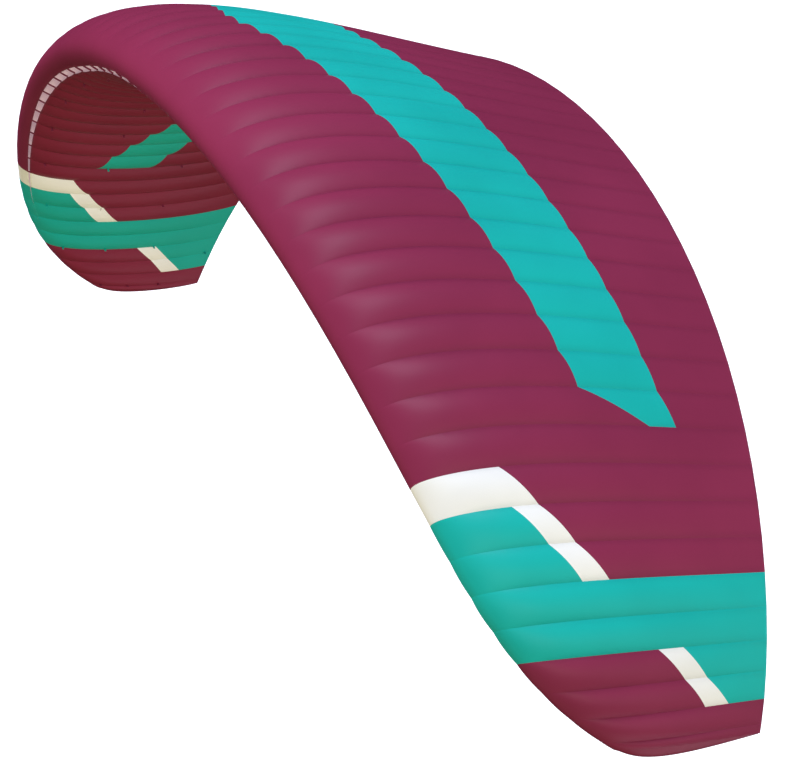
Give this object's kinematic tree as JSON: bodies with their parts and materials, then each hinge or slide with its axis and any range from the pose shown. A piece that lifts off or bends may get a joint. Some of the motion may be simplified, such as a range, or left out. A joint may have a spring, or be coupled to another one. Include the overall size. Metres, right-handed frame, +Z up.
{
  "type": "ram-air kite canopy",
  "caption": "Arched ram-air kite canopy of inflated cells with air intakes in the nose and webbing line tabs underneath.",
  "frame": {"origin": "underside of the middle cell at a quarter of the chord, where the air carries the wing", "axes": "+X along the span, -Y towards the leading edge, +Z up"},
  "size_m": [6.4572, 1.9966, 2.1659],
  "materials": {
    "burgundy_cloth": "satin",
    "teal_cloth": "satin",
    "white_cloth": "satin"
  },
  "bodies": {
    "root": {"cell_middle": "burgundy_cloth", "cell_right_01": "burgundy_cloth", "cell_right_02": "burgundy_cloth", "cell_right_03": "burgundy_cloth", "cell_right_04": "burgundy_cloth", "cell_right_05": "burgundy_cloth", "cell_right_06": "burgundy_cloth", "cell_right_07": "burgundy_cloth", "cell_right_08": "burgundy_cloth", "cell_right_09": "burgundy_cloth", "cell_right_10": "burgundy_cloth", "cell_right_11": "burgundy_cloth", "cell_right_12": "burgundy_cloth", "cell_right_13": "burgundy_cloth", "cell_right_14": "burgundy_cloth", "cell_right_15": "burgundy_cloth", "cell_right_16": "burgundy_cloth", "cell_right_17": "burgundy_cloth", "cell_right_18": "white_cloth", "cell_right_19": "teal_cloth", "cell_right_20": "teal_cloth", "cell_right_21": "teal_cloth", "cell_right_22": "teal_cloth", "cell_right_23": "burgundy_cloth", "cell_right_24": "burgundy_cloth", "cell_right_25": "burgundy_cloth", "cell_right_26": "burgundy_cloth", "cell_left_01": "burgundy_cloth", "cell_left_02": "burgundy_cloth", "cell_left_03": "burgundy_cloth", "cell_left_04": "burgundy_cloth", "cell_left_05": "burgundy_cloth", "cell_left_06": "burgundy_cloth", "cell_left_07": "burgundy_cloth", "cell_left_08": "burgundy_cloth", "cell_left_09": "burgundy_cloth", "cell_left_10": "burgundy_cloth", "cell_left_11": "burgundy_cloth", "cell_left_12": "burgundy_cloth", "cell_left_13": "burgundy_cloth", "cell_left_14": "burgundy_cloth", "cell_left_15": "burgundy_cloth", "cell_left_16": "burgundy_cloth", "cell_left_17": "burgundy_cloth", "cell_left_18": "white_cloth", "cell_left_19": "teal_cloth", "cell_left_20": "teal_cloth", "cell_left_21": "teal_cloth", "cell_left_22": "teal_cloth", "cell_left_23": "burgundy_cloth", "cell_left_24": "burgundy_cloth", "cell_left_25": "burgundy_cloth", "cell_left_26": "burgundy_cloth"}
  },
  "joints": []
}
